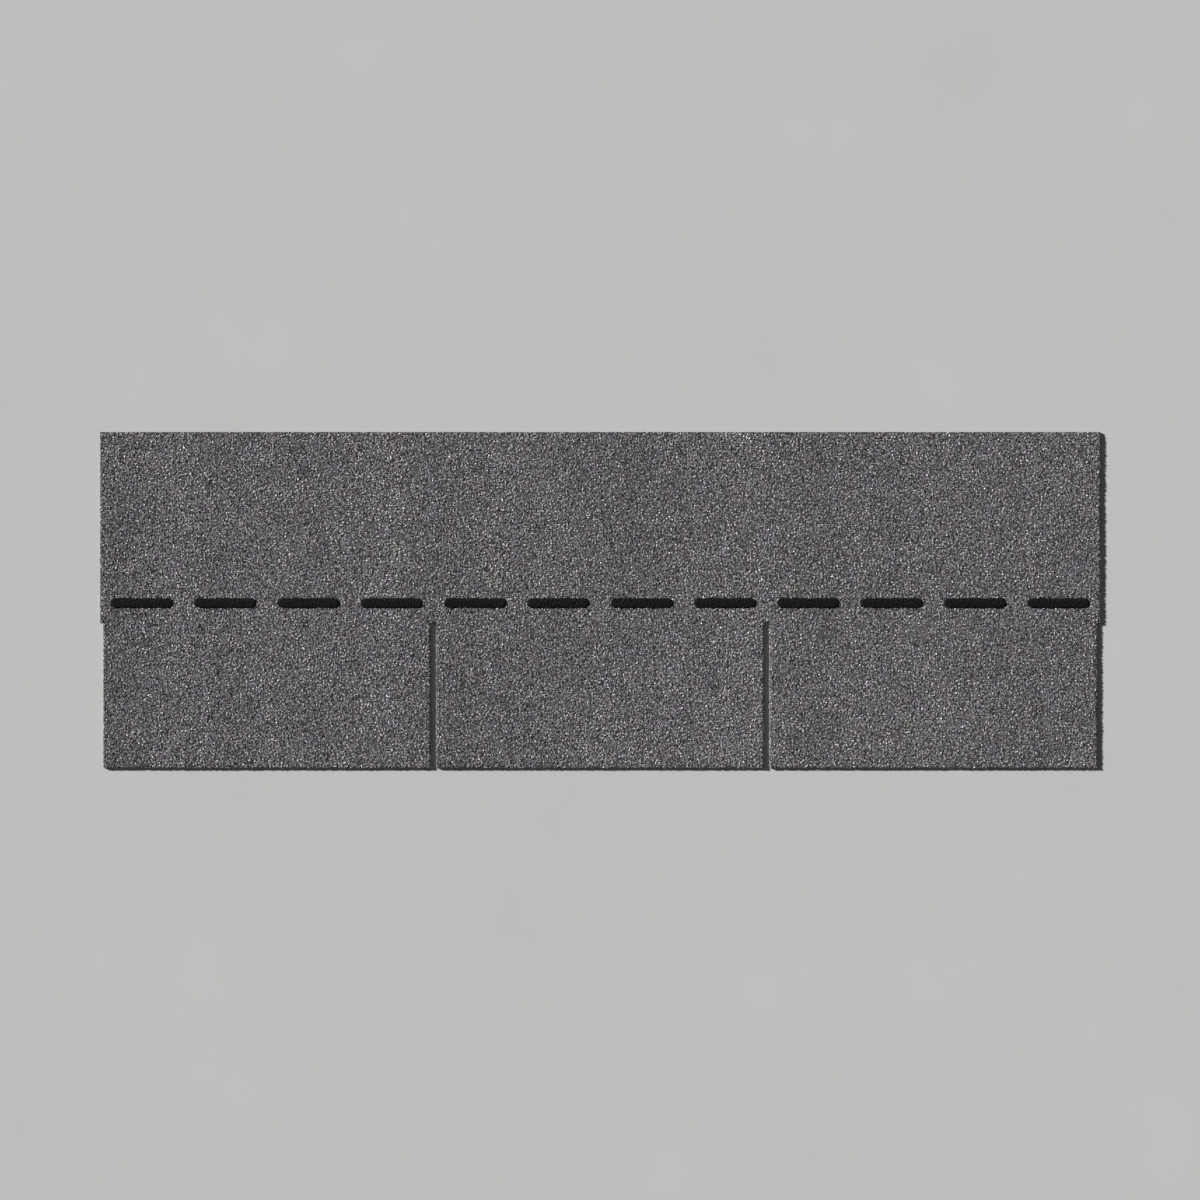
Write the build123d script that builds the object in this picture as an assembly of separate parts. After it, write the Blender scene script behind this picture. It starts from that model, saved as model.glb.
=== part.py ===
"""Three-tab asphalt strip shingle, lying flat with its weather face up.

The strip is one sheet of asphalt-coated glass-fibre mat with mineral granules pressed into its
weather face. Slots cut in from the butt edge part its lower half into tabs, and half a slot at
each end makes a whole one with the next strip of the course. A row of asphalt sealant dashes
crosses the weather face above the slots. A release film lies flush in the back, where the
dashes of the strip below touch it in a stack.

Frame: X runs along the strip, Y from the butt edge to the top edge and Z up. The origin is the
middle of the back face, which lies on the deck. All sizes are in millimetres.
"""

import os

from build123d import *

# The strip, cut by a die from the coated sheet
strip_length = 1000.0
tab_count = 3
exposure = 143.0  # height of each tab that the next course leaves in the weather
headlap = 50.0  # stretch below the top edge that two later courses cover
sheet_thickness = 3.0  # over the granules
shoulder_radius = 1.2  # rounding that the die leaves round the weather face

# The slots between the tabs
slot_width = 6.5
slot_overrun = 2.0  # how far a slot runs on past the exposure, under the next course
slot_corner_radius = 1.0

# The sealant dashes on the weather face
dashes_per_tab = 4
dash_gap = 21.0
dash_width = 10.0
dash_height = 0.8
dash_edge_radius = 0.5
sealant_setback = 20.0  # from the slots' ends up to the middle of the dashes

# The release film in the back
film_width = 30.0
film_thickness = 0.05

# Places that follow from those sizes
strip_width = 2 * exposure + headlap
butt_y = -strip_width / 2
tab_pitch = strip_length / tab_count
slot_depth = exposure + slot_overrun
sealant_y = butt_y + slot_depth + sealant_setback
film_y = -sealant_y  # every second strip of a stack is turned end for end
dash_pitch = tab_pitch / dashes_per_tab
dash_length = dash_pitch - dash_gap


def slot_outline(centre_x):
    """One slot, which the butt edge crosses at its middle, with its two inner corners rounded."""
    blank = Rectangle(slot_width, 2 * slot_depth)
    inner_corners = blank.vertices().group_by(Axis.Y)[-1]
    return Pos(centre_x, butt_y) * fillet(inner_corners, slot_corner_radius)


def film_blank():
    """The release film, which is also the shape of its recess in the back."""
    flush_with_back = (Align.CENTER, Align.CENTER, Align.MIN)
    return Pos(0, film_y, 0) * Box(strip_length, film_width, film_thickness, align=flush_with_back)


def shingle_strip():
    """The coated sheet, cut to its outline, with rounded shoulders and the recess for the film."""
    outline = Rectangle(strip_length, strip_width)
    for boundary in range(tab_count + 1):
        outline -= slot_outline(-strip_length / 2 + boundary * tab_pitch)
    sheet = extrude(outline, sheet_thickness)
    weather_face = sheet.faces().sort_by(Axis.Z)[-1]
    sheet = fillet(weather_face.edges(), shoulder_radius)
    return sheet - film_blank()


def sealant_dash(centre_x):
    """One dash of sealant, rounded at its ends and along its upper edge."""
    dash = extrude(SlotOverall(dash_length, dash_width), dash_height)
    dash = fillet(dash.faces().sort_by(Axis.Z)[-1].edges(), dash_edge_radius)
    return Pos(centre_x, sealant_y, sheet_thickness) * dash


def sealant_dashes():
    """The row of dashes, which leaves a gap above every slot."""
    first_x = -strip_length / 2 + dash_pitch / 2
    dash_count = tab_count * dashes_per_tab
    return Compound([sealant_dash(first_x + dash * dash_pitch) for dash in range(dash_count)])


os.makedirs("parts", exist_ok=True)
export_step(shingle_strip(), "parts/shingle_strip.step")
export_step(sealant_dashes(), "parts/sealant_dashes.step")
export_step(film_blank(), "parts/release_film.step")
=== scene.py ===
"""Looks of a three-tab asphalt strip shingle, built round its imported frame.

The strip lies flat with its weather face up. X runs along it, Y from the butt edge of the tabs to
the top edge and Z up, in metres. A coated sheet carries the crushed mineral granules, a row of
sealant beads crosses it above the slots, and a release film lies flush in its back.
"""

import logging
import math
from collections.abc import Sequence
from dataclasses import dataclass, field
from enum import Enum

import bmesh
import bpy
import numpy as np
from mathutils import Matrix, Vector, noise


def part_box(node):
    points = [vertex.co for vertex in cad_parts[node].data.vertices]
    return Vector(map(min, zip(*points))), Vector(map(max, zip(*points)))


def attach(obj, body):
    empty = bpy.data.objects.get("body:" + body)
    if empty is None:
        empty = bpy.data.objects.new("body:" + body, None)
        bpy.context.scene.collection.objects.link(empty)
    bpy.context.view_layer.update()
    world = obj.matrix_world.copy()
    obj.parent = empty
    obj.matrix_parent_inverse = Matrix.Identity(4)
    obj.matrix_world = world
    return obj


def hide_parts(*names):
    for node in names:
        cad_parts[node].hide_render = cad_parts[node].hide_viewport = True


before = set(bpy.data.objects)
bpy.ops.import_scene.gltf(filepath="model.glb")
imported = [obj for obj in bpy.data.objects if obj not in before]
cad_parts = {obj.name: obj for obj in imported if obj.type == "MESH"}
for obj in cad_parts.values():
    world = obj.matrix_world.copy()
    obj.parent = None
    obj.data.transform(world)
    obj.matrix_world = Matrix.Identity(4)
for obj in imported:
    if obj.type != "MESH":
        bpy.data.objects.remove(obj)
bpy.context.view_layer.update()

LOG = logging.getLogger("shingle")
MM = 0.001
BODY = "root"
TONE = "tone"
BAKE_MAP = "OFBake"
# Blender's vector noise starts from the clock unless it is given a seed
NOISE_SEED = 7
WHOLE = (0.0, 1.0)
# Where nearly all the values of a noise lie
MOST = (0.3, 0.7)

Colour = tuple[float, float, float]
Span = tuple[float, float]
Stops = Sequence[tuple[float, Colour]]
Socket = bpy.types.NodeSocket


class ShaderTree:
    """The nodes of one material while a finish writes them.

    Patterns read Object coordinates, in metres.
    """

    def __init__(self, name: str) -> None:
        """Starts a material whose surface is one Principled shader.

        Args:
            name: the material's name.
        """
        self.material = bpy.data.materials.new(name)
        self.material.use_nodes = True
        self.tree = self.material.node_tree
        self.tree.nodes.clear()
        self.surface = self.add("ShaderNodeBsdfPrincipled")
        self.place = self.add("ShaderNodeTexCoord").outputs["Object"]
        output = self.add("ShaderNodeOutputMaterial")
        self.tree.links.new(self.surface.outputs["BSDF"], output.inputs["Surface"])

    def add(self, kind: str, **settings: object) -> bpy.types.Node:
        """Adds a node.

        Args:
            kind: the node's type name.
            settings: properties of the node to set.

        Returns:
            The new node.
        """
        node = self.tree.nodes.new(kind)
        for name, value in settings.items():
            setattr(node, name, value)
        return node

    def feed(self, socket: Socket, value: object) -> None:
        """Links a socket's output into another, or sets a plain value there.

        Args:
            socket: the input that takes the value.
            value: an output socket, a number or a colour.
        """
        if isinstance(value, Socket):
            self.tree.links.new(value, socket)
        elif isinstance(value, tuple) and len(value) == 3 and socket.type == "RGBA":
            socket.default_value = (*value, 1.0)
        else:
            socket.default_value = value

    def stretched(self, scale: tuple[float, float, float]) -> Socket:
        """Positions with each axis scaled, which draws a pattern out along the smaller ones.

        Args:
            scale: the factor of each axis.

        Returns:
            The scaled positions.
        """
        mapping = self.add("ShaderNodeMapping")
        self.feed(mapping.inputs["Vector"], self.place)
        mapping.inputs["Scale"].default_value = scale
        return mapping.outputs["Vector"]

    def noise(self, feature: float, detail: float = 2.0, place: Socket | None = None) -> Socket:
        """Soft random noise from 0 to 1.

        Args:
            feature: about how large its blots are, in metres.
            detail: how many finer octaves it has.
            place: the positions it reads, or Object coordinates.

        Returns:
            The noise value.
        """
        node = self.add("ShaderNodeTexNoise")
        self.feed(node.inputs["Vector"], place or self.place)
        node.inputs["Scale"].default_value = 1.0 / feature
        node.inputs["Detail"].default_value = detail
        return node.outputs["Fac"]

    def cells(self, feature: float, output: str, shape: str = "F1") -> Socket:
        """Random grains that fill the surface.

        Args:
            feature: about how large each grain is, in metres.
            output: "Distance" from the grain's middle, or a "Color" that is random in each.
            shape: which distance of the Voronoi pattern is taken.

        Returns:
            The output asked for.
        """
        node = self.add("ShaderNodeTexVoronoi", feature=shape)
        self.feed(node.inputs["Vector"], self.place)
        node.inputs["Scale"].default_value = 1.0 / feature
        return node.outputs[output]

    def domes(self, feature: float) -> Socket:
        """The relief of such grains, which is highest in the middle of each."""
        return self.result("SUBTRACT", 1.0, self.cells(feature, "Distance"))

    def ranged(self, value: Socket, source: Span, target: Span) -> Socket:
        """Maps one range onto another and clamps what lies outside.

        Args:
            value: the number to map.
            source: the range it comes from.
            target: the range it goes to.

        Returns:
            The mapped number.
        """
        node = self.add("ShaderNodeMapRange")
        self.feed(node.inputs["Value"], value)
        for name, bound in zip(("From Min", "From Max", "To Min", "To Max"), (*source, *target)):
            node.inputs[name].default_value = bound
        return node.outputs["Result"]

    def ramp(self, value: Socket, stops: Stops, stepped: bool = False) -> Socket:
        """Turns a number into a colour.

        Args:
            value: the number, from 0 to 1.
            stops: where each colour stands, from low to high.
            stepped: whether each colour holds up to the next stop, with no blend.

        Returns:
            The colour.
        """
        node = self.add("ShaderNodeValToRGB")
        ramp = node.color_ramp
        ramp.interpolation = "CONSTANT" if stepped else "LINEAR"
        while len(ramp.elements) < len(stops):
            ramp.elements.new(1.0)
        for element, (position, colour) in zip(ramp.elements, stops):
            element.position = position
            element.color = (*colour, 1.0)
        self.feed(node.inputs["Fac"], value)
        return node.outputs["Color"]

    def two_tone(self, value: Socket, low: Colour, high: Colour, span: Span = MOST) -> Socket:
        """Goes from one colour to another as a noise rises through the span."""
        return self.ramp(value, list(zip(span, (low, high))))

    def blend(self, share: object, first: object, second: object, mode: str = "MIX") -> Socket:
        """Mixes two colours.

        Args:
            share: how much of the second is in the mix, from 0 to 1.
            first: the colour beneath.
            second: the colour on top.
            mode: the way of mixing.

        Returns:
            The mixed colour.
        """
        node = self.add("ShaderNodeMix", data_type="RGBA", blend_type=mode)
        self.feed(node.inputs["Factor"], share)
        colours = [s for s in node.inputs if s.type == "RGBA"]
        self.feed(colours[0], first)
        self.feed(colours[1], second)
        return next(s for s in node.outputs if s.type == "RGBA")

    def tinted(self, colour: Socket, tint: Socket) -> Socket:
        """A colour times a tint or a number."""
        return self.blend(1.0, colour, tint, "MULTIPLY")

    def result(self, operation: str, first: object, second: object = 0.0) -> Socket:
        """Works out a sum or the like.

        Args:
            operation: the Math node's operation.
            first: the first number.
            second: the second number, for an operation that takes two.

        Returns:
            The result.
        """
        node = self.add("ShaderNodeMath", operation=operation)
        self.feed(node.inputs[0], first)
        self.feed(node.inputs[1], second)
        return node.outputs["Value"]

    def rough(self, value: Socket, target: Span, source: Span = MOST) -> None:
        """Makes the roughness follow a pattern, whose range becomes the target range."""
        self.feed(self.surface.inputs["Roughness"], self.ranged(value, source, target))

    def coloured(self, value: Socket) -> None:
        """Sets the base colour."""
        self.feed(self.surface.inputs["Base Color"], value)

    def bumped(self, height: Socket, depth: float) -> None:
        """Raises and lowers the surface in its shading.

        Args:
            height: the relief, from 0 to 1.
            depth: how deep the full relief is, in metres.
        """
        node = self.add("ShaderNodeBump")
        node.inputs["Distance"].default_value = depth
        self.feed(node.inputs["Height"], height)
        self.feed(self.surface.inputs["Normal"], node.outputs["Normal"])


@dataclass(frozen=True)
class GranuleBlend:
    """Crushed rock in the mixed grey ceramic colours of one blend.

    Attributes:
        shades: each shade's share of the granules and its colour, from dark to pale.
        drop_width: how wide the bands are in which the blend drifts along the strip, in metres.
        drop_swing: how far those bands swing from the mean, as a share of it.
        cloud_width: how wide the softer clouds are, in metres.
        cloud_swing: how far the clouds swing.
        hues: how wide each drift of hue is, in metres, and the two tints that it goes between.
        hue_span: the values of a drift at which its tints are full.
        later_digits: what brings a second random number out of a granule's tone.
        roughness: how rough the smoothest and the roughest granule are.
        mirror: how strongly the granules mirror.
        chips: how wide the small chips are that roughen a stone's faces, in metres.
        chip_depth: how deep they are.
    """

    shades: Stops = (
        (0.13, (0.062, 0.060, 0.062)),
        (0.16, (0.102, 0.098, 0.101)),
        (0.20, (0.147, 0.142, 0.146)),
        (0.19, (0.199, 0.192, 0.197)),
        (0.13, (0.254, 0.246, 0.252)),
        (0.11, (0.332, 0.323, 0.330)),
        (0.05, (0.451, 0.441, 0.448)),
        (0.03, (0.610, 0.598, 0.607)),
    )
    drop_width: float = 90 * MM
    drop_swing: float = 0.135
    cloud_width: float = 30 * MM
    cloud_swing: float = 0.07
    hues: tuple[tuple[float, Colour, Colour], ...] = (
        (20 * MM, (1.025, 1.005, 0.965), (0.985, 0.99, 1.035)),
        (16 * MM, (1.01, 0.97, 1.01), (0.99, 1.025, 0.99)),
    )
    hue_span: Span = (0.35, 0.65)
    later_digits: float = 71.0
    roughness: Span = (0.5, 0.9)
    mirror: float = 0.3
    chips: float = 0.8 * MM
    chip_depth: float = 0.5 * MM

    def material(self) -> bpy.types.Material:
        """Writes the material, which takes each granule's shade from its tone attribute.

        Returns:
            The material.
        """
        tree = ShaderTree("ceramic_granules")
        tone = tree.add("ShaderNodeAttribute", attribute_name=TONE).outputs["Fac"]
        shares = np.cumsum([0.0] + [share for share, _ in self.shades[:-1]])
        stops = [(float(at), colour) for at, (_, colour) in zip(shares, self.shades)]
        shade = tree.ramp(tone, stops, stepped=True)
        drops = tree.noise(self.drop_width, place=tree.stretched((1.0, 0.12, 1.0)))
        clouds = tree.noise(self.cloud_width)
        level = tree.result(
            "MULTIPLY",
            tree.ranged(drops, MOST, (1 - self.drop_swing, 1 + self.drop_swing)),
            tree.ranged(clouds, MOST, (1 - self.cloud_swing, 1 + self.cloud_swing)),
        )
        shade = tree.tinted(shade, level)
        for width, first, second in self.hues:
            tint = tree.two_tone(tree.noise(width), first, second, self.hue_span)
            shade = tree.tinted(shade, tint)
        tree.coloured(shade)
        luck = tree.result("FRACT", tree.result("MULTIPLY", tone, self.later_digits))
        tree.rough(luck, self.roughness, WHOLE)
        tree.surface.inputs["Specular IOR Level"].default_value = self.mirror
        tree.bumped(tree.noise(self.chips, 3.0), self.chip_depth)
        return tree.material


@dataclass(frozen=True)
class AsphaltBed:
    """Black coating asphalt between the granules, with fines and dust pressed into it.

    Attributes:
        shades: where each shade of the asphalt and its fines starts, and its colour.
        dust: the colour of the dust.
        dust_width: how wide its patches are, in metres.
        fines: how large a grain of the fines is, in metres.
        relief: how far the fines stand out, in metres.
    """

    shades: Stops = (
        (0.0, (0.016, 0.015, 0.015)),
        (0.30, (0.048, 0.046, 0.048)),
        (0.52, (0.090, 0.087, 0.090)),
        (0.78, (0.150, 0.145, 0.149)),
    )
    dust: Colour = (0.11, 0.105, 0.10)
    dust_width: float = 6 * MM
    fines: float = 0.7 * MM
    relief: float = 0.35 * MM

    def material(self) -> bpy.types.Material:
        """Writes the material, in which some cells are asphalt and some are grains.

        Returns:
            The material.
        """
        tree = ShaderTree("asphalt_bed")
        luck = tree.cells(self.fines, "Color")
        grains = tree.ramp(luck, self.shades, stepped=True)
        dusty = tree.ranged(tree.noise(self.dust_width, 3.0), (0.4, 0.7), (0.0, 0.25))
        tree.coloured(tree.blend(dusty, grains, self.dust))
        tree.rough(luck, (0.45, 0.85), WHOLE)
        tree.bumped(tree.domes(self.fines), self.relief)
        return tree.material


@dataclass(frozen=True)
class CutEdge:
    """The die-cut edge: filled asphalt with the line of the glass mat in it.

    Attributes:
        asphalt: the darkest and the palest colour of the asphalt with its filler.
        glass: the colour of the mat's torn fibres.
        filler: how coarse the filler is, in metres.
        relief: how rough it leaves the edge, in metres.
        mat_height: how high the mat lies over the back, in metres.
        mat_thickness: how thick the mat's line is, in metres.
        mat_wander: how far that line rises and sinks, in metres.
    """

    asphalt: tuple[Colour, Colour] = ((0.016, 0.015, 0.015), (0.062, 0.058, 0.055))
    glass: Colour = (0.23, 0.21, 0.18)
    filler: float = 0.9 * MM
    relief: float = 0.25 * MM
    mat_height: float = 1.0 * MM
    mat_thickness: float = 0.45 * MM
    mat_wander: float = 0.25 * MM

    def material(self) -> bpy.types.Material:
        """Writes the material, with torn fibres along the mat's line.

        Returns:
            The material.
        """
        tree = ShaderTree("cut_asphalt")
        filler = tree.noise(self.filler, 3.0)
        split = tree.add("ShaderNodeSeparateXYZ")
        tree.feed(split.inputs["Vector"], tree.place)
        wander = tree.ranged(tree.noise(9 * MM), WHOLE, (-self.mat_wander, self.mat_wander))
        height = tree.result("ADD", split.outputs["Z"], wander)
        off = tree.result("ABSOLUTE", tree.result("SUBTRACT", height, self.mat_height))
        line = tree.ranged(off, (0.0, self.mat_thickness), (0.8, 0.0))
        torn = tree.ranged(tree.noise(0.5 * MM), (0.4, 0.6), WHOLE)
        fibres = tree.result("MULTIPLY", line, torn)
        tree.coloured(tree.blend(fibres, tree.two_tone(filler, *self.asphalt), self.glass))
        tree.rough(filler, (0.55, 0.9))
        tree.bumped(filler, self.relief)
        return tree.material


@dataclass(frozen=True)
class SandedBack:
    """The back of the sheet: asphalt dusted with fine sand so that strips don't stick.

    Attributes:
        asphalt: the darkest and the palest colour of the bare asphalt.
        sand: where each colour of the sand stands, and the colour.
        grit: how large a grain of the sand is, in metres.
        relief: how far a grain stands out, in metres.
    """

    asphalt: tuple[Colour, Colour] = ((0.014, 0.013, 0.013), (0.032, 0.030, 0.029))
    sand: Stops = (
        (0.0, (0.07, 0.067, 0.06)),
        (0.5, (0.15, 0.142, 0.13)),
        (1.0, (0.27, 0.255, 0.23)),
    )
    grit: float = 0.45 * MM
    relief: float = 0.12 * MM

    def material(self) -> bpy.types.Material:
        """Writes the material, with the sand spread in faint streaks along the strip.

        Returns:
            The material.
        """
        tree = ShaderTree("sanded_back")
        streaks = tree.noise(14 * MM, 3.0, tree.stretched((0.05, 1.0, 1.0)))
        spread = tree.result("ADD", streaks, tree.noise(40 * MM, 3.0))
        cover = tree.ranged(spread, (0.75, 1.25), (0.35, 0.85))
        luck = tree.cells(self.grit, "Color")
        bare = tree.two_tone(tree.noise(3 * MM), *self.asphalt)
        stuck = tree.ranged(tree.result("LESS_THAN", luck, cover), WHOLE, (0.08, 0.9))
        tree.coloured(tree.blend(stuck, bare, tree.ramp(luck, self.sand)))
        tree.rough(stuck, (0.5, 0.95), WHOLE)
        tree.bumped(tree.domes(self.grit), self.relief)
        return tree.material


@dataclass(frozen=True)
class SealantGloss:
    """Soft black sealing asphalt, dulled by dust, with the granules showing through as lumps.

    Attributes:
        colour: its colour.
        dust: the colour of the stray dust on it.
        lump: how wide the lumps over the granules are, in metres.
        bubble: how far apart the burst bubbles lie, in metres.
        relief: how deep lumps and bubbles are, in metres.
        mirror: how strongly it still mirrors.
    """

    colour: Colour = (0.010, 0.0095, 0.0095)
    dust: Colour = (0.16, 0.155, 0.15)
    lump: float = 1.5 * MM
    bubble: float = 2.6 * MM
    relief: float = 1.0 * MM
    mirror: float = 0.03

    def material(self) -> bpy.types.Material:
        """Writes the material, with lumps, burst bubbles and a little stray dust.

        Returns:
            The material.
        """
        tree = ShaderTree("sealing_asphalt")
        specks = tree.ranged(tree.noise(0.6 * MM), (0.68, 0.76), (0.0, 0.5))
        tree.coloured(tree.blend(specks, self.colour, self.dust))
        tree.rough(tree.noise(5 * MM, 3.0), (0.65, 0.9))
        tree.surface.inputs["Specular IOR Level"].default_value = self.mirror
        lumps = tree.cells(self.lump, "Distance", "SMOOTH_F1")
        bubbles = tree.ranged(tree.cells(self.bubble, "Distance"), (0.0, 0.2), (0.0, 0.5))
        tree.bumped(tree.result("SUBTRACT", bubbles, lumps), self.relief)
        return tree.material


@dataclass(frozen=True)
class ReleaseTape:
    """Clear release film over the black back, a little wrinkled and dulled by dust.

    Attributes:
        colour: the film's colour over the asphalt.
        dusty: how much paler it is where dust lies.
        wrinkle: how deep the wrinkles are, in metres.
        coat: how strong and how rough the film's own shine is.
    """

    colour: Colour = (0.055, 0.056, 0.060)
    dusty: float = 2.2
    wrinkle: float = 0.15 * MM
    coat: Span = (0.6, 0.08)

    def material(self) -> bpy.types.Material:
        """Writes the material, with wrinkles that run across the tape.

        Returns:
            The material.
        """
        tree = ShaderTree("release_tape")
        haze = tree.noise(18 * MM, 4.0, tree.stretched((0.4, 1.0, 1.0)))
        pale = tuple(self.dusty * c for c in self.colour)
        tree.coloured(tree.two_tone(haze, self.colour, pale))
        tree.rough(haze, (0.12, 0.38))
        wrinkles = tree.noise(7 * MM, place=tree.stretched((1.0, 0.25, 1.0)))
        tree.bumped(wrinkles, self.wrinkle)
        for name, value in zip(("Coat Weight", "Coat Roughness"), self.coat):
            tree.surface.inputs[name].default_value = value
        return tree.material


@dataclass(frozen=True)
class PaleFloor:
    """The studio's pale matt floor.

    Attributes:
        colour: its colour.
        mottle: how dark its darkest blots are, as a share of it.
        blot: how wide the blots are, in metres.
    """

    colour: Colour = (0.52, 0.52, 0.515)
    mottle: float = 0.97
    blot: float = 0.15

    def material(self) -> bpy.types.Material:
        """Writes the material, with the faintest mottle.

        Returns:
            The material.
        """
        tree = ShaderTree("pale_floor")
        darker = tuple(self.mottle * c for c in self.colour)
        tree.coloured(tree.two_tone(tree.noise(self.blot, 3.0), darker, self.colour))
        tree.surface.inputs["Roughness"].default_value = 1.0
        tree.surface.inputs["Specular IOR Level"].default_value = 0.0
        return tree.material


@dataclass(frozen=True)
class StripPlan:
    """The strip's outline from above, and what lies on it.

    Attributes:
        low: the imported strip's lowest corner.
        high: its highest corner.
        tab_count: how many tabs it has.
        slot_width: the width of a slot.
        slot_end: the Y at which the slots end.
    """

    low: Vector
    high: Vector
    tab_count: int = 3
    slot_width: float = 6.5 * MM
    slot_end: float = -23 * MM

    @property
    def tab_pitch(self) -> float:
        """The distance from one slot's middle to the next."""
        return (self.high.x - self.low.x) / self.tab_count

    def slot_sides(self) -> list[Span]:
        """The sides of the slots, with the half slots at the ends cut off there.

        Returns:
            The X of each slot's left and right side.
        """
        half = self.slot_width / 2
        middles = [self.low.x + k * self.tab_pitch for k in range(self.tab_count + 1)]
        return [(max(self.low.x, x - half), min(self.high.x, x + half)) for x in middles]

    def slot_lines(self) -> list[float]:
        """The X of all those sides, from left to right."""
        return [x for pair in self.slot_sides() for x in pair]

    def borders(self) -> tuple[np.ndarray, np.ndarray]:
        """The straight edges of the outline.

        Returns:
            The first and the last point of each edge, as two arrays of X and Y.
        """
        low, high, end = self.low, self.high, self.slot_end
        edges = [((low.x, high.y), (high.x, high.y))]
        edges += [((x, end), (x, high.y)) for x in (low.x, high.x)]
        sides = self.slot_sides()
        for left, right in sides:
            edges.append(((left, end), (right, end)))
            edges += [((x, low.y), (x, end)) for x in (left, right) if low.x < x < high.x]
        for (_, start), (stop, _) in zip(sides, sides[1:]):
            edges.append(((start, low.y), (stop, low.y)))
        first, last = zip(*edges)
        return np.array(first), np.array(last)

    def holds(self, points: np.ndarray) -> np.ndarray:
        """Whether each point lies on the strip.

        Args:
            points: an array of X and Y.

        Returns:
            An array of truth values.
        """
        x, y = points.T
        on = (abs(x) < self.high.x) & (y > self.low.y) & (y < self.high.y)
        for left, right in self.slot_sides():
            on &= (y > self.slot_end) | (x < left) | (x > right)
        return on

    def nearest_border(self, points: np.ndarray) -> tuple[np.ndarray, np.ndarray]:
        """How far each point is from the outline, and which way.

        Args:
            points: an array of X and Y.

        Returns:
            The distances, and the unit vectors from the points to the outline.
        """
        best = np.full(len(points), np.inf)
        way = np.zeros((len(points), 2))
        for first, last in zip(*self.borders()):
            along = last - first
            share = np.clip((points - first) @ along / (along @ along), 0, 1)
            apart = first + share[:, None] * along - points
            distance = np.linalg.norm(apart, axis=1)
            nearer = distance < best
            best[nearer] = distance[nearer]
            way[nearer] = (apart / np.maximum(distance, 1e-9)[:, None])[nearer]
        return best, way


def in_scene(name: str, data: bpy.types.ID) -> bpy.types.Object:
    """Puts a mesh, a lamp or a camera in the scene.

    Args:
        name: the name of its object.
        data: the mesh, the lamp or the camera.

    Returns:
        The object.
    """
    thing = bpy.data.objects.new(name, data)
    bpy.context.scene.collection.objects.link(thing)
    return thing


def finished_piece(
    name: str, mesh: bpy.types.Mesh, replaced: str, materials: list[bpy.types.Material]
) -> bpy.types.Object:
    """Puts a mesh in the scene as a piece that rides on the strip and stands for a CAD node.

    Args:
        name: the piece's name.
        mesh: its mesh, which is already in place.
        replaced: the CAD node that it stands for.
        materials: its materials, in the order of their indices.

    Returns:
        The piece.
    """
    for material in materials:
        mesh.materials.append(material)
    piece = in_scene(name, mesh)
    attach(piece, BODY)
    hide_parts(replaced)
    triangles = sum(len(face.vertices) - 2 for face in mesh.polygons)
    LOG.info("%s: %d vertices, %d triangles", name, len(mesh.vertices), triangles)
    return piece


def mesh_of(bm: bmesh.types.BMesh, name: str) -> bpy.types.Mesh:
    """Writes a worked shape out as a mesh and frees it.

    Args:
        bm: the shape.
        name: the mesh's name.

    Returns:
        The mesh.
    """
    mesh = bpy.data.meshes.new(name)
    bm.to_mesh(mesh)
    bm.free()
    return mesh


def drawn_out(bm: bmesh.types.BMesh, faces: list[bmesh.types.BMFace]) -> list[bmesh.types.BMVert]:
    """Extrudes faces as one region and gives the corners to move, which are still in place."""
    drawn = bmesh.ops.extrude_face_region(bm, geom=faces)["geom"]
    return [vert for vert in drawn if isinstance(vert, bmesh.types.BMVert)]


class SheetFace(Enum):
    """The faces of the coated sheet that are finished apart."""

    BED = 0
    CUT = 1
    BACK = 2


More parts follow.
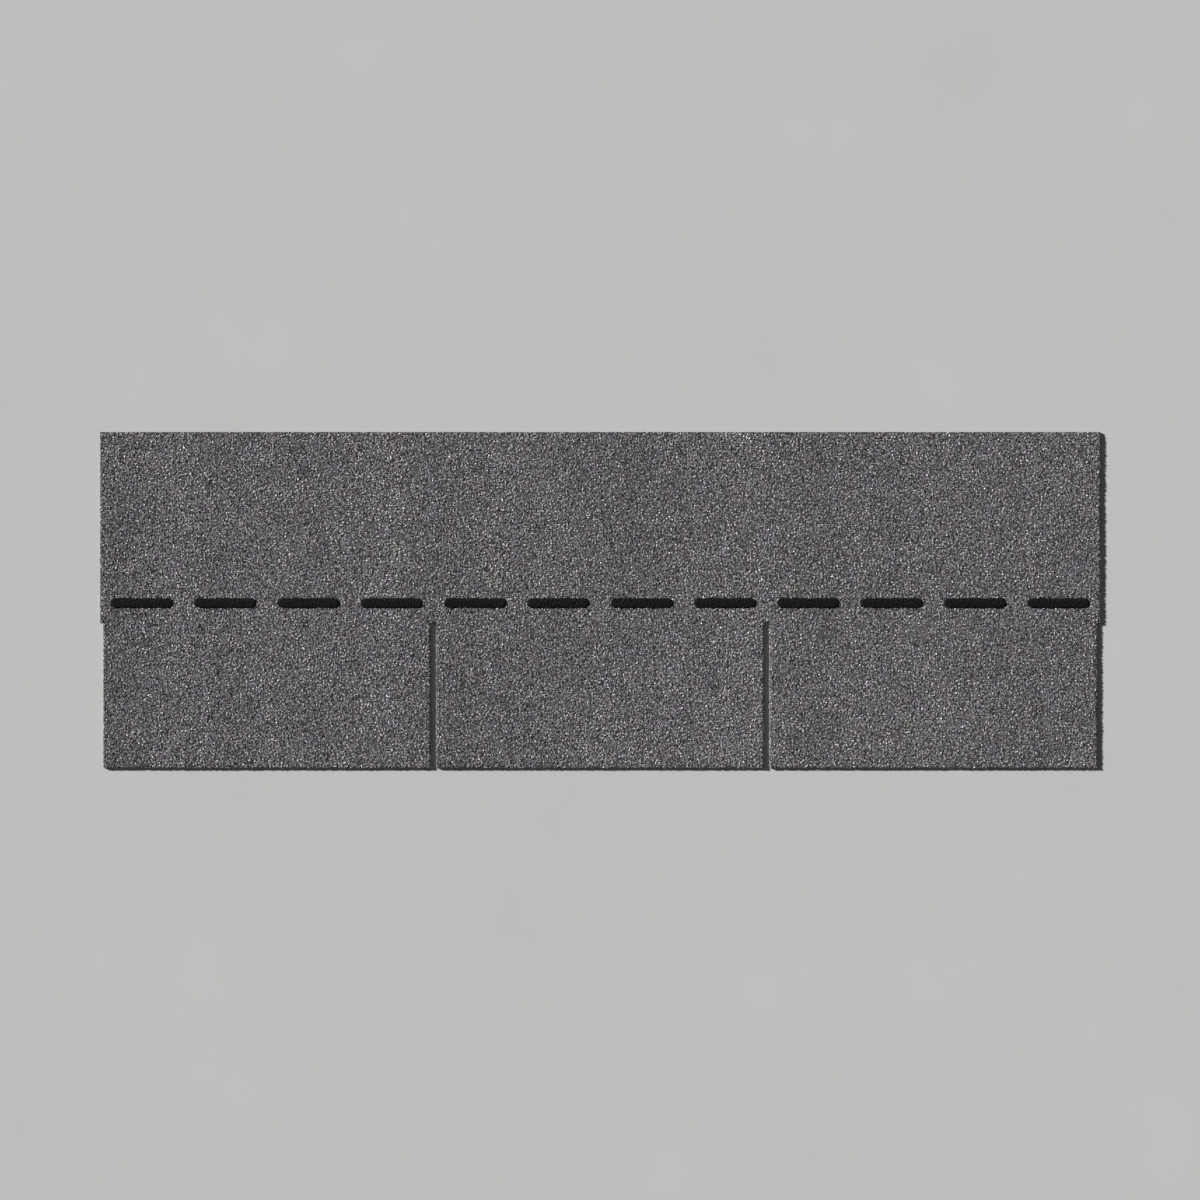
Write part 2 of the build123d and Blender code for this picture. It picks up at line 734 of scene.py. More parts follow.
@dataclass
class CoatedSheet:
    """The asphalt-coated sheet under the granules.

    Attributes:
        plan: the strip's outline.
        bed_height: how high the coating lies between the granules.
        shoulder: the radius of the rounding that the die leaves along the edges.
        slot_corner: the radius of a slot's inner corners.
        span: about how far apart the lines lie that divide the sheet.
        waver: how far the cut edges wander.
        waver_rate: how quickly they do, per metre.
        film_node: the CAD node of the film, for which the back is recessed.
        cut_slack: how near a corner a ruled line may pass without a new corner there.
        same: how near two places are that count as one.
        looks_down: the most that a normal's Z is on the back.
        looks_up: the least that it is on the bed.
        bm: the shape while it is worked.
    """

    plan: StripPlan
    bed_height: float = 2.2 * MM
    shoulder: float = 1.2 * MM
    slot_corner: float = 1.0 * MM
    span: float = 11 * MM
    waver: float = 0.12 * MM
    waver_rate: float = 40.0
    film_node: str = "release_film"
    cut_slack: float = 1e-7
    same: float = 1e-6
    looks_down: float = -0.9
    looks_up: float = 0.1
    bm: bmesh.types.BMesh = field(init=False)

    def bed_at(self, inset: np.ndarray) -> tuple[np.ndarray, np.ndarray]:
        """Where the rounded bed lies near an edge.

        Args:
            inset: how far in from the outline each point is.

        Returns:
            The bed's heights, and how far its normals lean outwards, from 0 to 1.
        """
        lean = np.clip(1 - inset / self.shoulder, 0, 1)
        drop = self.shoulder * (1 - np.sqrt(1 - lean**2))
        return self.bed_height - drop, lean

    def build(self) -> bpy.types.Object:
        """Cuts the sheet to its outline, thickens it and rounds its shoulders.

        Returns:
            The dressed piece.
        """
        self.bm = bmesh.new()
        self._lay_out()
        self._cut_slots()
        self._thicken()
        self._round_slot_corners()
        self._round_shoulders()
        self._recess_back()
        self._sort_faces()
        self._waver_edges()
        mesh = mesh_of(self.bm, "coated_sheet")
        finishes = [AsphaltBed().material(), CutEdge().material(), SandedBack().material()]
        return finished_piece(
            "coated_sheet", mesh, "shingle_strip", finishes
        )

    def _lines(self, stations: list[float]) -> list[float]:
        """Stations with evenly spaced lines between each two.

        Args:
            stations: where lines have to be, from low to high.

        Returns:
            All the lines, without the first and the last station.
        """
        lines: list[float] = []
        for start, stop in zip(stations, stations[1:]):
            count = max(1, round((stop - start) / self.span))
            lines += [start + (stop - start) * k / count for k in range(count)]
        return lines[1:]

    def _lay_out(self) -> None:
        """Lays out the whole sheet as one face and rules it into cells."""
        low, high = self.plan.low, self.plan.high
        film_low, film_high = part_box(self.film_node)
        bmesh.ops.create_grid(self.bm, x_segments=1, y_segments=1, size=0.5)
        bmesh.ops.scale(self.bm, vec=(high.x - low.x, high.y - low.y, 1), verts=self.bm.verts)
        rows = [low.y, self.plan.slot_end, film_low.y, film_high.y, high.y]
        for x in self._lines(self.plan.slot_lines()):
            self._rule(Vector((x, 0, 0)), Vector((1, 0, 0)))
        for y in self._lines(rows):
            self._rule(Vector((0, y, 0)), Vector((0, 1, 0)))

    def _rule(self, point: Vector, normal: Vector) -> None:
        """Cuts every face along one straight line.

        Args:
            point: a point of the line.
            normal: the way across it.
        """
        bmesh.ops.bisect_plane(
            self.bm,
            geom=[*self.bm.verts, *self.bm.edges, *self.bm.faces],
            dist=self.cut_slack,
            plane_co=point,
            plane_no=normal,
        )

    def _cut_slots(self) -> None:
        """Takes the cells of the slots out."""
        middles = np.array([face.calc_center_median().xy for face in self.bm.faces])
        off = ~self.plan.holds(middles)
        faces = [face for face, gone in zip(self.bm.faces, off) if gone]
        bmesh.ops.delete(self.bm, geom=faces, context="FACES")

    def _thicken(self) -> None:
        """Raises the outline into a closed sheet."""
        raised = drawn_out(self.bm, self.bm.faces[:])
        bmesh.ops.translate(self.bm, vec=(0, 0, self.bed_height), verts=raised)
        bmesh.ops.recalc_face_normals(self.bm, faces=self.bm.faces)

    def _round(self, edges: list[bmesh.types.BMEdge], radius: float) -> None:
        """Rounds edges off.

        Args:
            edges: the edges.
            radius: the radius that they get.
        """
        bmesh.ops.bevel(
            self.bm, geom=edges, offset=radius, segments=4, profile=0.5, affect="EDGES", material=-1
        )

    def _round_slot_corners(self) -> None:
        """Rounds the upright edges at the slots' inner ends."""
        sides = self.plan.slot_lines()
        corners = []
        for edge in self.bm.edges:
            foot, head = (vert.co for vert in edge.verts)
            if (
                abs(foot.z - head.z) > self.bed_height / 2
                and abs(foot.y - self.plan.slot_end) < self.same
                and min(abs(foot.x - x) for x in sides) < self.same
                and abs(foot.x) < self.plan.high.x - self.same
            ):
                corners.append(edge)
        self._round(corners, self.slot_corner)

    def _round_shoulders(self) -> None:
        """Rounds the edge between the bed and the cut sides."""
        rims = [
            edge
            for edge in self.bm.edges
            if len(edge.link_faces) == 2
            and sorted(round(abs(face.normal.z)) for face in edge.link_faces) == [0, 1]
            and all(vert.co.z > self.bed_height / 2 for vert in edge.verts)
        ]
        self._round(rims, self.shoulder)

    def _recess_back(self) -> None:
        """Sinks the back under the release film by the film's own thickness."""
        low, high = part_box(self.film_node)
        under = [
            face
            for face in self.bm.faces
            if face.normal.z < self.looks_down and low.y < face.calc_center_median().y < high.y
        ]
        sunk = drawn_out(self.bm, under)
        bmesh.ops.translate(self.bm, vec=(0, 0, high.z - low.z), verts=sunk)

    def _sort_faces(self) -> None:
        """Gives each face the finish of its side of the sheet."""
        for face in self.bm.faces:
            if face.normal.z < self.looks_down:
                face.material_index = SheetFace.BACK.value
            elif face.normal.z < self.looks_up:
                face.material_index = SheetFace.CUT.value
            else:
                face.material_index = SheetFace.BED.value
                face.smooth = True

    def _waver_edges(self) -> None:
        """Lets the cut edges wander a little, as a worn die leaves them."""
        points = np.array([vert.co.xy for vert in self.bm.verts])
        inset, _ = self.plan.nearest_border(points)
        for vert, depth in zip(self.bm.verts, inset):
            if depth < self.shoulder:
                drift = noise.noise_vector(vert.co * self.waver_rate) * self.waver
                vert.co.xy += drift.xy


class Stone(Enum):
    """The shapes into which the rock breaks, by how many corners their broad face has."""

    BLOCK = 5
    WEDGE = 4
    CHIP = 3


@dataclass(frozen=True)
class StoneSet:
    """Several crushed stones of one kind, all with as many corners and faces.

    Attributes:
        corners: the corners of each stone about its middle, with its broad face up. The face
            is as large as a disc that is one unit across.
        faces: the three corners of each face, which are the same for every stone.
    """

    corners: np.ndarray
    faces: np.ndarray


@dataclass
class Crusher:
    """Breaks rock into the stones that the weather face is strewn with.

    Attributes:
        variants: how many stones of each kind it breaks.
        roughness: how far each corner is knocked out of place, as a share of the size.
        depth: how deep a stone reaches below its broad face.
        stretch: how much longer or narrower than round the broad face may be.
        seed: what its random numbers start from.
    """

    variants: int = 16
    roughness: float = 0.13
    depth: float = 0.8
    stretch: float = 1.3
    seed: int = 11

    def stones(self, kind: Stone) -> StoneSet:
        """Breaks stones of one kind.

        Args:
            kind: the shape they start from.

        Returns:
            The stones.
        """
        rng = np.random.default_rng([self.seed, list(Stone).index(kind)])
        shapes = [self._stone(kind, rng) for _ in range(self.variants)]
        return StoneSet(np.array([corners for corners, _ in shapes]), shapes[0][1])

    def _stone(self, kind: Stone, rng: np.random.Generator) -> tuple[np.ndarray, np.ndarray]:
        """Breaks one stone.

        Args:
            kind: the shape it starts from.
            rng: the random numbers.

        Returns:
            Its corners and its triangles.
        """
        bm = bmesh.new()
        bmesh.ops.create_cone(
            bm, cap_ends=True, segments=kind.value, radius1=0.0, radius2=0.6, depth=self.depth
        )
        longer = self.stretch ** rng.uniform(-1, 1)
        bmesh.ops.scale(bm, vec=(longer, 1 / longer, 1), verts=bm.verts)
        for vert in bm.verts:
            vert.co += Vector(rng.uniform(-self.roughness, self.roughness, 3))
        bmesh.ops.triangulate(bm, faces=bm.faces, quad_method="FIXED")
        bmesh.ops.recalc_face_normals(bm, faces=bm.faces)
        bm.verts.index_update()
        covered = sum(max(0.0, face.normal.z) * face.calc_area() for face in bm.faces)
        corners = np.array([vert.co for vert in bm.verts]) * math.sqrt(math.pi / 4 / covered)
        corners -= corners.mean(axis=0)
        faces = np.array([[vert.index for vert in face.verts] for face in bm.faces])
        bm.free()
        return corners, faces


@dataclass(frozen=True)
class Strewn:
    """Granules strewn on the bed, before each gets its stone.

    Attributes:
        bed: the point of the bed over which each lies.
        normals: the bed's normal there.
        sizes: how large each is.
        tones: the shade of each, from 0 for the darkest to 1 for the palest.
    """

    bed: np.ndarray
    normals: np.ndarray
    sizes: np.ndarray
    tones: np.ndarray

    def only(self, chosen: np.ndarray) -> "Strewn":
        """Those of the granules that are chosen."""
        columns = (self.bed, self.normals, self.sizes, self.tones)
        return Strewn(*(column[chosen] for column in columns))


@dataclass
class GranuleSurface:
    """The granules pressed into the weather face, joined to one mesh on and one above each tab.

    Attributes:
        sheet: the sheet that the granules are pressed into.
        crusher: what the stones come from.
        mixture: each kind of stone and its share.
        spacing: how far apart the granules lie.
        push_below: how near each other they push, as a share of the spacing.
        push_share: how much of the way they go in one push.
        passes: how often they push each other apart.
        room: the least and the most room that a granule fills, as a share of the spacing.
        cover: how large a granule is beside its room, from least to most.
        flatness: how far a granule is squashed along the bed's normal.
        lean: how far a granule's broad face may lean, in degrees.
        tumbled: the share of the granules that lie any way up.
        rolled: how far the granules stand over the bed where the press rolls left them.
        unrolled: how much less or more that may be, from least to most.
        least_inset: how near a strewn granule's middle comes to the outline.
        rim_pitch: how close the granules along the outline lie, as a share of the spacing.
        rim_jitter: where in its own stretch of the outline each of those lies.
        rim_inset: how far in from the outline they lie, in millimetres.
        sheared: how far a granule stands out past the outline, where the die cut through it.
        lowest: how near the back a granule may reach.
        evenness: how strongly a granule's shade keeps apart from those next to it.
        seed: what the random numbers start from.
        rng: the random numbers.
        stones: the broken stones of each kind.
    """

    sheet: CoatedSheet
    crusher: Crusher = field(default_factory=Crusher)
    mixture: dict[Stone, float] = field(
        default_factory=lambda: {Stone.BLOCK: 0.14, Stone.WEDGE: 0.50, Stone.CHIP: 0.36}
    )
    spacing: float = 1.40 * MM
    push_below: float = 1.15
    push_share: float = 0.3
    passes: int = 10
    room: Span = (0.75, 1.05)
    cover: Span = (0.95, 1.25)
    flatness: float = 0.9
    lean: float = 38.0
    tumbled: float = 0.3
    rolled: float = 0.8 * MM
    unrolled: Span = (-0.25 * MM, 0.12 * MM)
    least_inset: float = 0.5 * MM
    rim_pitch: float = 0.85
    rim_jitter: Span = (0.15, 0.85)
    rim_inset: Span = (0.15, 0.4)
    sheared: float = 0.2 * MM
    lowest: float = 0.9 * MM
    evenness: float = 0.85
    seed: int = 5
    rng: np.random.Generator = field(init=False)
    stones: dict[Stone, StoneSet] = field(init=False)

    def __post_init__(self) -> None:
        """Starts the random numbers and breaks the stones."""
        self.rng = np.random.default_rng(self.seed)
        self.stones = {kind: self.crusher.stones(kind) for kind in self.mixture}

    def build(self, bare: np.ndarray) -> list[bpy.types.Object]:
        """Strews the whole face and joins the granules of each stretch into a piece.

        Args:
            bare: the low and high corners of boxes in plan that get no granules.

        Returns:
            The pieces.
        """
        blend = GranuleBlend().material()
        strewn = self._strewn(bare)
        return [
            finished_piece(
                name,
                self._joined(name, strewn.only(chosen)),
                "shingle_strip",
                [blend],
            )
            for name, chosen in self._stretches(strewn.bed[:, :2])
        ]

    def _stretches(self, spots: np.ndarray) -> list[tuple[str, np.ndarray]]:
        """Parts the granules into those on and those above each tab.

        Args:
            spots: the granules' X and Y.

        Returns:
            The name of each stretch, and whether each granule belongs to it.
        """
        plan = self.sheet.plan
        tab = ((spots[:, 0] - plan.low.x) / plan.tab_pitch).astype(int).clip(0, plan.tab_count - 1)
        below = spots[:, 1] < plan.slot_end
        return [
            (f"{row}_granules_{side}", (tab == index) & inside)
            for index, side in enumerate(("left", "middle", "right"))
            for row, inside in (("tab", below), ("headlap", ~below))
        ]

    def _strewn(self, bare: np.ndarray) -> Strewn:
        """Lays out all the granules: those strewn over the face and those along its outline.

        Args:
            bare: the boxes that get no granules.

        Returns:
            The granules.
        """
        spots, sizes, tones = self._strew()
        keep = self._wanted(spots, bare)
        rim, rim_sizes = self._rim()
        spots = np.concatenate([spots[keep], rim])
        inset, outwards = self.sheet.plan.nearest_border(spots)
        height, lean = self.sheet.bed_at(inset)
        return Strewn(
            bed=np.column_stack([spots, height]),
            normals=np.column_stack([outwards * lean[:, None], np.sqrt(1 - lean**2)]),
            sizes=np.concatenate([sizes[keep], rim_sizes]),
            tones=np.concatenate([tones[keep], self.rng.random(len(rim))]),
        )

    def _strew(self) -> tuple[np.ndarray, np.ndarray, np.ndarray]:
        """Strews one granule in each cell of a grid and lets near ones push each other apart.

        Returns:
            The granules' X and Y, their sizes, and their shades from 0 to 1.
        """
        low, high = np.array(self.sheet.plan.low.xy), np.array(self.sheet.plan.high.xy)
        counts = np.round((high - low) / self.spacing).astype(int)
        cell = (high - low) / counts
        corners = np.stack(np.meshgrid(*(np.arange(n) for n in counts)), axis=-1)
        spots = low + (corners + self.rng.random(corners.shape)) * cell
        shifts = [(i, j) for i in range(-2, 3) for j in range(-2, 3) if (i, j) != (0, 0)]
        reach = self.push_below * self.spacing
        for _ in range(self.passes):
            push = np.zeros_like(spots)
            for shift in shifts:
                apart = spots - np.roll(spots, shift, axis=(0, 1))
                distance = np.maximum(np.linalg.norm(apart, axis=-1, keepdims=True), 1e-9)
                push += apart / distance * np.clip(reach - distance, 0, None)
            spots = np.clip(spots + self.push_share * push, low, high)
        nearest = np.full(spots.shape[:2], np.inf)
        for shift in shifts:
            apart = np.linalg.norm(spots - np.roll(spots, shift, axis=(0, 1)), axis=-1)
            nearest = np.minimum(nearest, apart)
        room = np.clip(nearest, *(share * self.spacing for share in self.room))
        sizes = room * self.rng.uniform(*self.cover, nearest.shape)
        luck = self.rng.random(nearest.shape)
        beside = [shift for shift in shifts if max(map(abs, shift)) < 2]
        around = sum(np.roll(luck, shift, axis=(0, 1)) for shift in beside) / len(beside)
        rank = np.argsort(np.argsort((luck - self.evenness * around).ravel()))
        return spots.reshape(-1, 2), sizes.ravel(), (rank + 0.5) / rank.size

    def _wanted(self, spots: np.ndarray, bare: np.ndarray) -> np.ndarray:
        """Whether each granule lies on the strip and outside the bare boxes.

        Args:
            spots: the granules' X and Y.
            bare: the boxes that get no granules.

        Returns:
            An array of truth values.
        """
        keep = self.sheet.plan.holds(spots)
        keep &= self.sheet.plan.nearest_border(spots)[0] > self.least_inset
        for low, high in bare:
            keep &= ~((spots > low) & (spots < high)).all(axis=1)
        return keep

    def _rim(self) -> tuple[np.ndarray, np.ndarray]:
        """A row of granules along the outline, which covers the steep part of the shoulder.

        Returns:
            The granules' X and Y, and their sizes.
        """
        spots = []
        for first, last in zip(*self.sheet.plan.borders()):
            length = np.linalg.norm(last - first)
            along = (last - first) / length
            count = max(1, int(length / (self.rim_pitch * self.spacing)))
            at = (np.arange(count) + self.rng.uniform(*self.rim_jitter, count)) * length / count
            line = first + at[:, None] * along
            inwards = np.array([-along[1], along[0]])
            probe = line[count // 2] + inwards * self.sheet.shoulder
            if not self.sheet.plan.holds(probe[None])[0]:
                inwards = -inwards
            depth = self.rng.uniform(*self.rim_inset, count) * MM
            spots.append(line + depth[:, None] * inwards)
        rim = np.concatenate(spots)
        rim = rim[self.sheet.plan.holds(rim)]
        return rim, self.spacing * self.rng.uniform(*self.room, len(rim))

    def _joined(self, name: str, strewn: Strewn) -> bpy.types.Mesh:
        """Gives each granule its stone and joins them all.

        Args:
            name: the mesh's name.
            strewn: the granules.

        Returns:
            The mesh, with the granules' tones and a map seen from above.
        """
        shares = list(self.mixture.values())
        kinds = self.rng.choice(len(shares), len(strewn.sizes), p=shares)
        parts, first = [], 0
        for index, stones in enumerate(self.stones.values()):
            chosen = strewn.only(kinds == index)
            corners = self._placed(stones, chosen)
            granules, count = corners.shape[:2]
            starts = first + count * np.arange(granules)
            faces = stones.faces[None] + starts[:, None, None]
            tones = np.repeat(chosen.tones, count)
            parts.append((corners.reshape(-1, 3), faces.reshape(-1, 3), tones))
            first += granules * count
        points, faces, tone = (np.concatenate(column) for column in zip(*parts))
        mesh = bpy.data.meshes.new(name)
        mesh.from_pydata(points, [], faces)
        mesh.attributes.new(TONE, "FLOAT", "POINT").data.foreach_set("value", tone)
        low, high = points[:, :2].min(0), points[:, :2].max(0)
        flat = (points[:, :2] - low) / (high - low)
        seen = mesh.uv_layers.new(name=BAKE_MAP)
        seen.uv.foreach_set("vector", flat[faces.ravel()].astype(np.float32).ravel())
        return mesh

    def _placed(self, stones: StoneSet, strewn: Strewn) -> np.ndarray:
        """Stones turned at random, rolled into the bed and sheared along the outline.

        Args:
            stones: the stones to pick from.
            strewn: the granules that they are for.

        Returns:
            The corners of each stone.
        """
        count = len(strewn.sizes)
        picked = stones.corners[self.rng.integers(len(stones.corners), size=count)]
        turns = laid_turns(self.rng, count, math.radians(self.lean))
        tumbled = self.rng.random(count) < self.tumbled
        turns[tumbled] = random_turns(self.rng, tumbled.sum())
        turned = np.einsum("nij,ncj->nci", turns, picked)
        turned *= strewn.sizes[:, None, None] * np.array([1, 1, self.flatness])
        level = self.rolled + self.rng.uniform(*self.unrolled, count)
        turned[..., 2] -= (turned[..., 2].max(axis=1) - level)[:, None]
        corners = strewn.bed[:, None] + np.einsum("nij,ncj->nci", turns_to(strewn.normals), turned)
        flat = corners[..., :2].reshape(-1, 2)
        past, back = self.sheet.plan.nearest_border(flat)
        past = np.where(self.sheet.plan.holds(flat), 0, np.maximum(past - self.sheared, 0))
        corners[..., :2] += (back * past[:, None]).reshape(*corners.shape[:2], 2)
        corners[..., 2] = np.maximum(corners[..., 2], self.lowest)
        return corners


def matrices(rows: list[list[np.ndarray]]) -> np.ndarray:
    """An array of 3 by 3 matrices, from an array of values for each of their places."""
    return np.moveaxis(np.array(rows), 2, 0)


def random_turns(rng: np.random.Generator, count: int) -> np.ndarray:
    """Rotation matrices that are spread evenly over all turns.

    Args:
        rng: the random numbers.
        count: how many.

    Returns:
        An array of 3 by 3 matrices.
    """
    q = rng.normal(size=(count, 4))
    w, x, y, z = (q / np.linalg.norm(q, axis=1, keepdims=True)).T
    return matrices(
        [
            [1 - 2 * (y * y + z * z), 2 * (x * y - z * w), 2 * (x * z + y * w)],
            [2 * (x * y + z * w), 1 - 2 * (x * x + z * z), 2 * (y * z - x * w)],
            [2 * (x * z - y * w), 2 * (y * z + x * w), 1 - 2 * (x * x + y * y)],
        ]
    )


def laid_turns(rng: np.random.Generator, count: int, lean: float) -> np.ndarray:
    """Rotation matrices that spin a stone about Z at will but lean it only so far.

    Args:
        rng: the random numbers.
        count: how many.
        lean: the furthest lean, in radians.

    Returns:
        An array of 3 by 3 matrices.
    """
    slope = rng.uniform(0, lean, count)
    side, spin = rng.uniform(0, 2 * math.pi, (2, count))
    normals = np.column_stack(
        [np.sin(slope) * np.cos(side), np.sin(slope) * np.sin(side), np.cos(slope)]
    )
    cosine, sine = np.cos(spin), np.sin(spin)
    none, one = np.zeros(count), np.ones(count)
    spins = matrices([[cosine, -sine, none], [sine, cosine, none], [none, none, one]])
    return turns_to(normals) @ spins


def turns_to(normals: np.ndarray) -> np.ndarray:
    """Rotation matrices that bring Z onto each normal.

    Args:
        normals: unit vectors that point upwards.

    Returns:
        An array of 3 by 3 matrices.
    """
    x, y, z = normals.T
    spread = 1 / (1 + z)
    return matrices(
        [
            [1 - x * x * spread, -x * y * spread, x],
            [-x * y * spread, 1 - y * y * spread, y],
            [-x, -y, z],
        ]
    )


@dataclass
class SealantRow:
    """The row of sealant beads, each printed hot on the granules.

    Attributes:
        node: the CAD node whose dashes the beads stand for.
        bead_count: how many beads there are.
        margin: how far in under a bead's edge the granules still run.
        root: how deep a bead reaches below the granules' tops.
        lengthwise: how many faces a bead has along.
        crosswise: how many it has across.
        tip: how wide a bead still is at its ends, as a share of its width.
        crown: the power of its dome's curve across, and the higher it is the flatter the dome.
        droop: how much of its height a bead loses towards its ends.
        swell: how much of its height rises and falls along it.
        swell_rate: how quickly that does, per metre.
        ragged: how far its outline wanders.
        ragged_rate: how quickly it does, per metre.
        ragged_shares: how much of that wander shows along and across.
        bm: the shape while it is worked.
    """

    node: str = "sealant_dashes"
    bead_count: int = 12
    margin: float = 1.6 * MM
    root: float = 0.7 * MM
    lengthwise: int = 60
    crosswise: int = 10
    tip: float = 0.22
    crown: float = 3.0
    droop: float = 0.8
    swell: float = 0.28
    swell_rate: float = 120.0
    ragged: float = 0.7 * MM
    ragged_rate: float = 180.0
    ragged_shares: Span = (0.9, 0.8)
    bm: bmesh.types.BMesh = field(init=False)

    def footprints(self) -> np.ndarray:
        """The boxes in plan under which no granules are needed.

        Returns:
            The low and high corner of each, as an array.
        """
        corners = np.array([(low.xy, high.xy) for low, high in self._boxes()])
        inwards = np.array([[1], [-1]])
        return corners + self.margin * inwards

    def build(self) -> bpy.types.Object:
        """Makes all the beads as one piece.

        Returns:
            The dressed piece.
        """
        self.bm = bmesh.new()
        for low, high in self._boxes():
            self._bead(low, high)
        bmesh.ops.recalc_face_normals(self.bm, faces=self.bm.faces)
        for face in self.bm.faces:
            face.smooth = True
        mesh = mesh_of(self.bm, "sealant_beads")
        return finished_piece(
            "sealant_beads", mesh, self.node, [SealantGloss().material()]
        )

    def _boxes(self) -> list[tuple[Vector, Vector]]:
        """The box of each dash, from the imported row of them.

        Returns:
            The low and the high corner of each.
        """
        low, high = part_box(self.node)
        strip_low, strip_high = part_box("shingle_strip")
        pitch = (strip_high.x - strip_low.x) / self.bead_count
        half = pitch / 2 - (low.x - strip_low.x)
        middles = [strip_low.x + pitch * (k + 0.5) for k in range(self.bead_count)]
        return [
            (Vector((x - half, low.y, low.z)), Vector((x + half, high.y, high.z)))
            for x in middles
        ]

    def _bead(self, low: Vector, high: Vector) -> None:
        """Adds one bead: a domed, ragged skin that is drawn down into the granules.

        Args:
            low: the lowest corner of the dash that it stands for.
            high: its highest corner.
        """
        middle, half = (low + high) / 2, (high - low) / 2
        skin = bmesh.ops.create_grid(
            self.bm, x_segments=self.lengthwise, y_segments=self.crosswise, size=1.0
        )["verts"]
        straight = 1 - half.y / half.x
        for vert in skin:
            along, edge = vert.co.x, abs(vert.co.y)
            past = max(0.0, (abs(along) - straight) / (1 - straight))
            width = max(self.tip, math.sqrt(max(0.0, 1 - past * past)))
            across = vert.co.y * width
            dome = (1 - edge**self.crown) * (1 - past**4 * self.droop)
            spot = Vector((middle.x + along * half.x, middle.y + across * half.y, 0))
            drift = noise.noise_vector(spot * self.ragged_rate) * self.ragged * max(edge, past) ** 2
            drift_x, drift_y = (share * d for share, d in zip(self.ragged_shares, drift))
            rise = 0.5 + 0.5 * noise.noise(spot * self.swell_rate)
            height = low.z + (high.z - low.z) * dome * (1 - self.swell + self.swell * rise)
            vert.co = Vector((spot.x + drift_x, spot.y + drift_y, height))
        faces = list(dict.fromkeys(face for vert in skin for face in vert.link_faces))
        for vert in drawn_out(self.bm, faces):
            vert.co.z = low.z - self.root


@dataclass
class FilmTape:
    """The release film, which keeps its CAD shape.

    Attributes:
        node: the film's CAD node.
    """

    node: str = "release_film"

    def dress(self) -> bpy.types.Object:
        """Gives the film its finish.

        Returns:
            The node's object.
        """
        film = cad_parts[self.node]
        film.material_slots[0].material = ReleaseTape().material()
        LOG.info("%s: carried over, dressed", self.node)
        return film


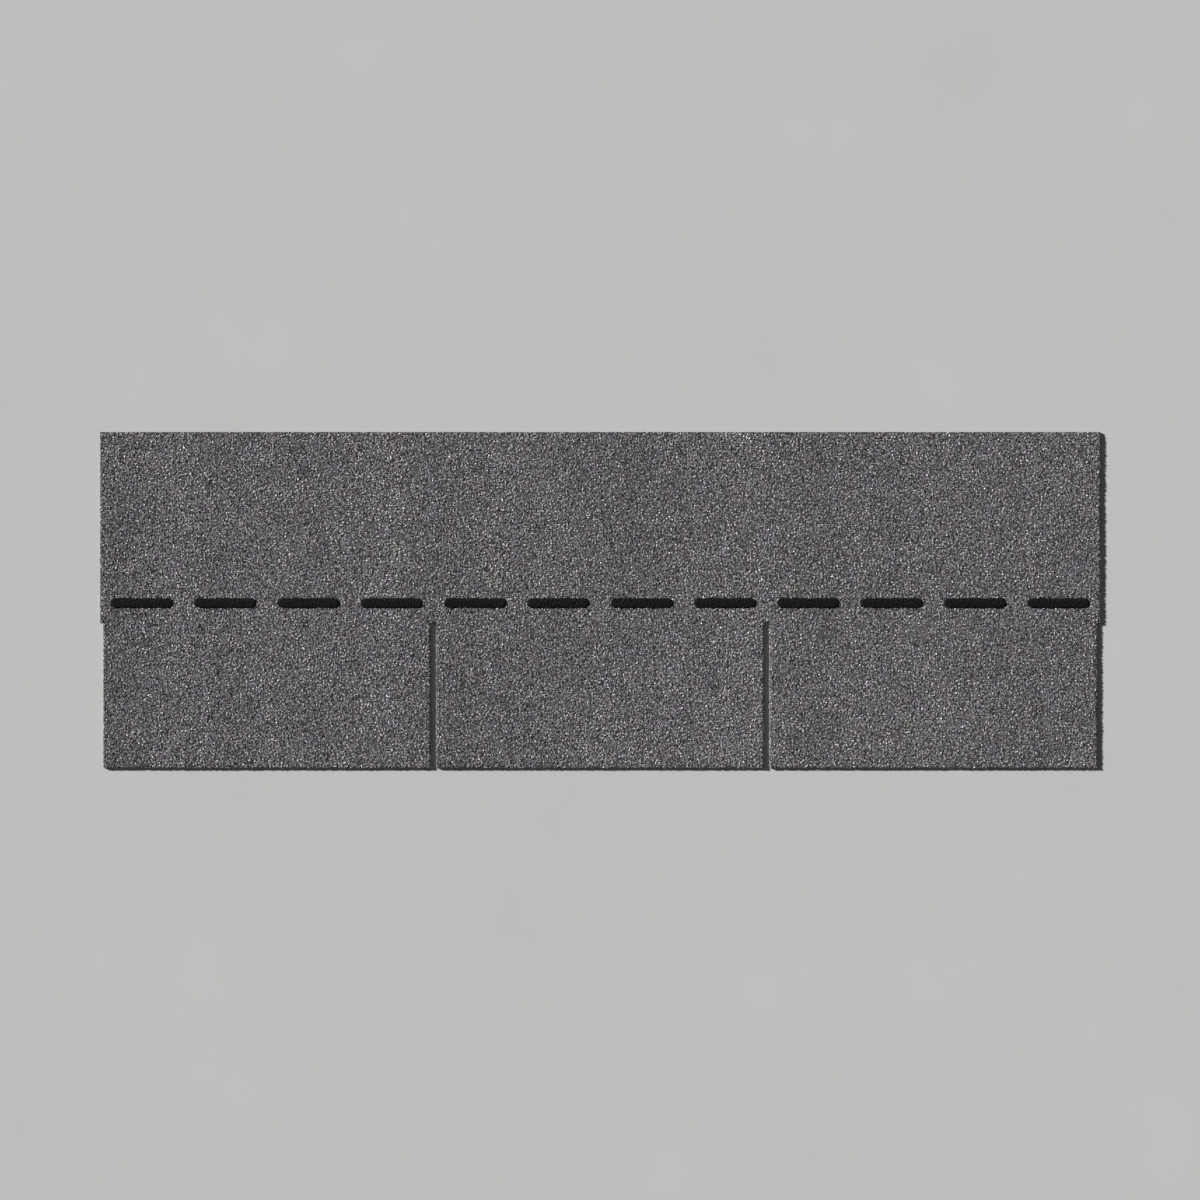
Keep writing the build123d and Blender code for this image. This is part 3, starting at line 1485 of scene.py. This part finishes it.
@dataclass
class Studio:
    """The floor, the lamps and the camera.

    Attributes:
        view_width: how much of the strip's plane the camera takes in, in metres.
        lens: the camera's focal length, in millimetres.
        sight: how far the camera sees, in metres.
        sun_side: the side that the key light comes from, as an angle from +X, in degrees.
        sun_height: how high it stands, in degrees.
        sun_width: how wide it looks, in degrees.
        sun_distance: how far off it hangs, in metres.
        fill: the share of the light that comes from all round.
        floor_reach: how far the floor runs each way, in metres.
        floor_gap: how far the floor lies under the strip's back.
    """

    view_width: float = 1.2
    lens: float = 100.0
    sight: float = 50.0
    sun_side: float = 155.0
    sun_height: float = 20.0
    sun_width: float = 5.0
    sun_distance: float = 3.0
    fill: float = 0.08
    floor_reach: float = 9.0
    floor_gap: float = 0.2 * MM

    def build(self, top: float) -> None:
        """Sets the scene round the strip.

        Args:
            top: how high the strip's weather face is.
        """
        self._lay_floor()
        self._hang_key()
        self._light_world()
        self._set_camera(top)
        bpy.context.scene.view_settings.view_transform = "Standard"

    def _lay_floor(self) -> None:
        """Lays the pale floor under the strip."""
        bm = bmesh.new()
        bmesh.ops.create_grid(bm, x_segments=1, y_segments=1, size=self.floor_reach)
        bmesh.ops.translate(bm, vec=(0, 0, -self.floor_gap), verts=bm.verts)
        floor = in_scene("floor", mesh_of(bm, "floor"))
        floor.data.materials.append(PaleFloor().material())

    def _hang_key(self) -> None:
        """Hangs the key light so that a level surface gets the share that the fill leaves."""
        side, height = math.radians(self.sun_side), math.radians(self.sun_height)
        way = Vector(
            (math.cos(side) * math.cos(height), math.sin(side) * math.cos(height), math.sin(height))
        )
        lamp = bpy.data.lights.new("key", "SUN")
        lamp.angle = math.radians(self.sun_width)
        lamp.energy = (1 - self.fill) * math.pi / math.sin(height)
        key = in_scene("key", lamp)
        key.location = way * self.sun_distance
        key.rotation_mode = "QUATERNION"
        key.rotation_quaternion = way.to_track_quat("Z", "Y")

    def _light_world(self) -> None:
        """Fills the shadows evenly, with a pale backdrop where a lens or a gloss looks."""
        world = bpy.data.worlds.new("studio")
        bpy.context.scene.world = world
        world.use_nodes = True
        nodes, links = world.node_tree.nodes, world.node_tree.links
        nodes.clear()
        path = nodes.new("ShaderNodeLightPath")
        seen = path.outputs["Is Camera Ray"]
        for name in ("Is Glossy Ray", "Is Transmission Ray"):
            both = nodes.new("ShaderNodeMath")
            both.operation = "MAXIMUM"
            links.new(seen, both.inputs[0])
            links.new(path.outputs[name], both.inputs[1])
            seen = both.outputs["Value"]
        fill, backdrop = nodes.new("ShaderNodeBackground"), nodes.new("ShaderNodeBackground")
        fill.inputs["Color"].default_value = (1.0, 1.0, 1.0, 1.0)
        fill.inputs["Strength"].default_value = self.fill
        backdrop.inputs["Color"].default_value = (*PaleFloor.colour, 1.0)
        mix, output = nodes.new("ShaderNodeMixShader"), nodes.new("ShaderNodeOutputWorld")
        links.new(seen, mix.inputs["Fac"])
        links.new(fill.outputs["Background"], mix.inputs[1])
        links.new(backdrop.outputs["Background"], mix.inputs[2])
        links.new(mix.outputs["Shader"], output.inputs["Surface"])

    def _set_camera(self, top: float) -> None:
        """Looks straight down on the middle of the strip.

        Args:
            top: how high the strip's weather face is.
        """
        lens = bpy.data.cameras.new("camera")
        lens.lens = self.lens
        lens.clip_end = self.sight
        camera = in_scene("camera", lens)
        camera.location = (0, 0, top + self.view_width * self.lens / lens.sensor_width)
        bpy.context.scene.camera = camera


def main() -> None:
    """Builds the strip's pieces in order, then the studio round them."""
    logging.basicConfig(level=logging.INFO, format="%(name)s: %(message)s")
    noise.seed_set(NOISE_SEED)
    plan = StripPlan(*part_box("shingle_strip"))
    sheet = CoatedSheet(plan)
    sheet.build()
    sealant = SealantRow()
    GranuleSurface(sheet).build(sealant.footprints())
    sealant.build()
    FilmTape().dress()
    Studio().build(plan.high.z)


if __name__ == "__main__":
    main()
